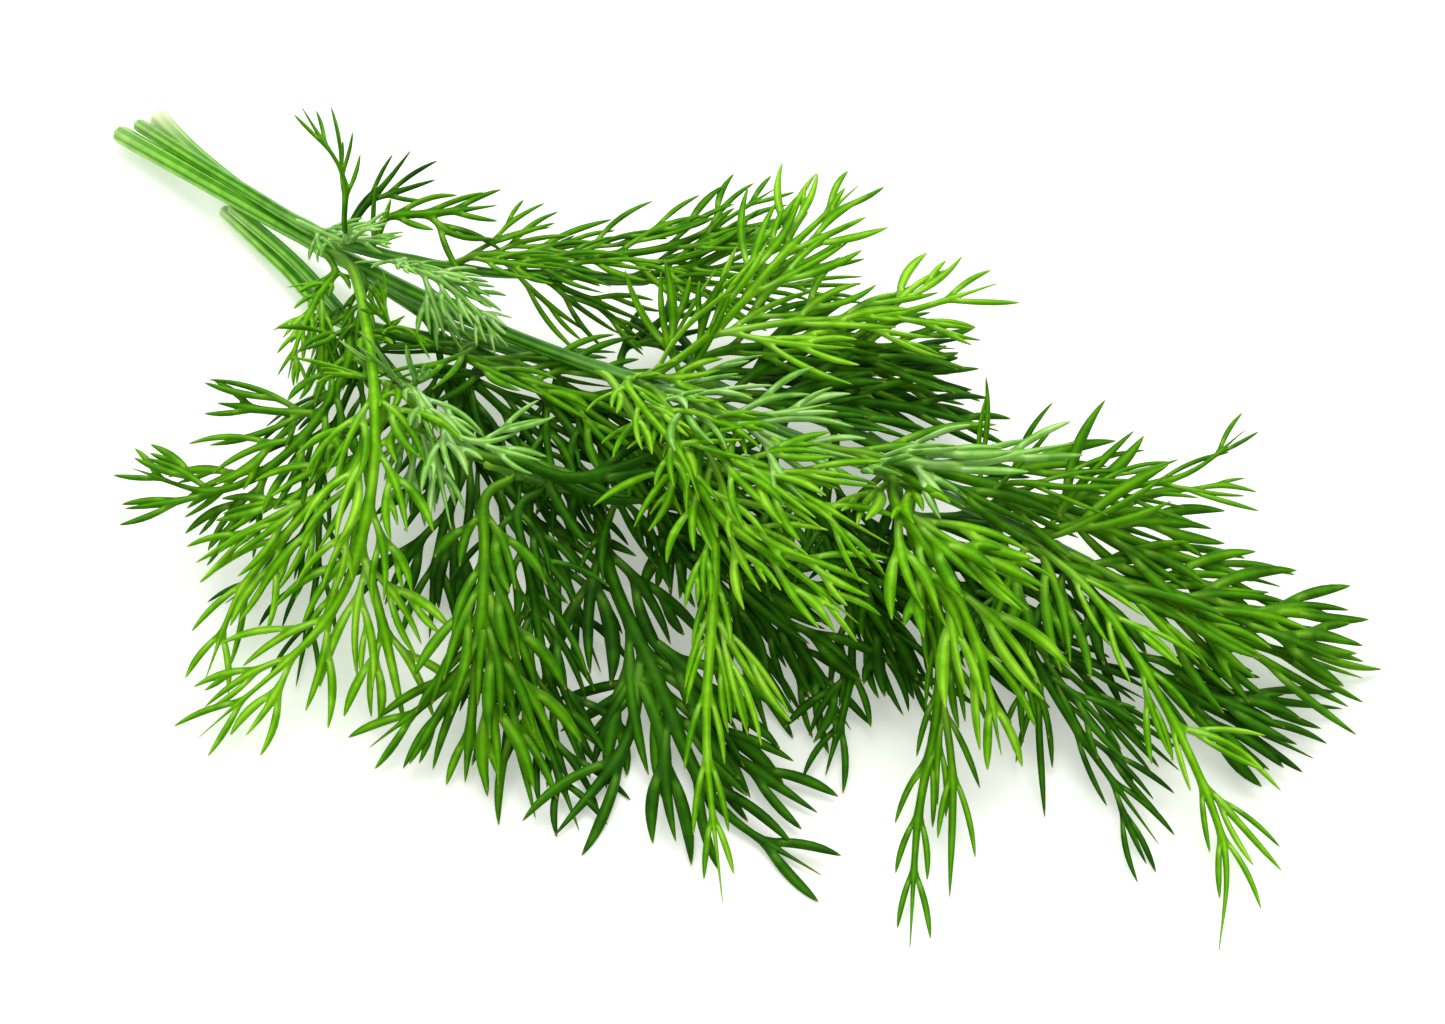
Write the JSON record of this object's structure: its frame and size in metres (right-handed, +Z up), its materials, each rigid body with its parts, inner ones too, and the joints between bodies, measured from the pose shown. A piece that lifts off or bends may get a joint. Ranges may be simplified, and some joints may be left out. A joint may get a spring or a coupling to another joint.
{
  "type": "bunch of dill",
  "caption": "Bunch of fresh dill lying down: slender ridged stems carrying feathery leaves of fine forked threads.",
  "frame": {"origin": "on the surface that the bunch lies on, under the middle of its bounding box", "axes": "+X along the bunch from the cut stem ends to the leaf tips, +Z up off the surface it lies on"},
  "size_m": [0.2474, 0.1404, 0.0344],
  "materials": {
    "stem_skin": "fresh ridged stem, satin",
    "leaf_pale_green": "fresh leaf, waxy bloom",
    "leaf_bright_green": "fresh leaf, satin",
    "leaf_mid_green": "fresh leaf, satin",
    "leaf_dark_green": "fresh leaf, satin"
  },
  "bodies": {
    "root": {"front_stem": "stem_skin", "middle_stem": "stem_skin", "back_stem": "stem_skin", "lower_stem": "stem_skin", "side_stem": "stem_skin", "leaf_upright": "leaf_mid_green", "leaf_back_dark": "leaf_dark_green", "leaf_back_fan": "leaf_mid_green", "leaf_upper": "leaf_mid_green", "leaf_upper_tip": "leaf_mid_green", "leaf_crown": "leaf_bright_green", "leaf_crown_side": "leaf_mid_green", "leaf_right_upper": "leaf_dark_green", "leaf_pale": "leaf_pale_green", "leaf_tuft": "leaf_bright_green", "leaf_centre": "leaf_bright_green", "leaf_centre_low": "leaf_bright_green", "leaf_hanging": "leaf_bright_green", "leaf_outer": "leaf_pale_green", "leaf_outer_low": "leaf_bright_green", "leaf_long_hanging": "leaf_mid_green", "leaf_far_top": "leaf_mid_green", "leaf_tip_upper": "leaf_mid_green", "leaf_tip": "leaf_mid_green", "leaf_tip_lower": "leaf_dark_green", "leaf_lower_right": "leaf_bright_green", "leaf_bottom_right": "leaf_dark_green", "leaf_bottom_mid": "leaf_dark_green", "leaf_table": "leaf_dark_green", "leaf_bottom_left": "leaf_mid_green", "leaf_bottom_fill": "leaf_dark_green", "leaf_left_hanging": "leaf_bright_green", "leaf_left_fork": "leaf_bright_green", "leaf_left": "leaf_mid_green", "leaf_left_low": "leaf_dark_green", "leaf_small_tuft": "leaf_mid_green", "leaf_curled": "leaf_pale_green", "leaf_dark_blade": "leaf_dark_green", "leaf_dark_back": "leaf_dark_green", "leaf_mid_fill": "leaf_dark_green", "leaf_under": "leaf_dark_green", "leaf_inner": "leaf_dark_green", "leaf_under_right": "leaf_dark_green", "leaf_node_pale": "leaf_pale_green", "leaf_node_hanging": "leaf_bright_green", "leaf_node_drop": "leaf_mid_green", "leaf_node_side": "leaf_pale_green", "leaf_node_low": "leaf_bright_green", "leaf_inner_upper": "leaf_mid_green", "leaf_inner_low": "leaf_dark_green", "leaf_inner_thin": "leaf_dark_green", "leaf_back_sweep": "leaf_dark_green", "leaf_right_fill": "leaf_mid_green", "leaf_tip_middle": "leaf_mid_green", "leaf_low_sweep": "leaf_dark_green", "leaf_table_side": "leaf_dark_green"}
  },
  "joints": []
}
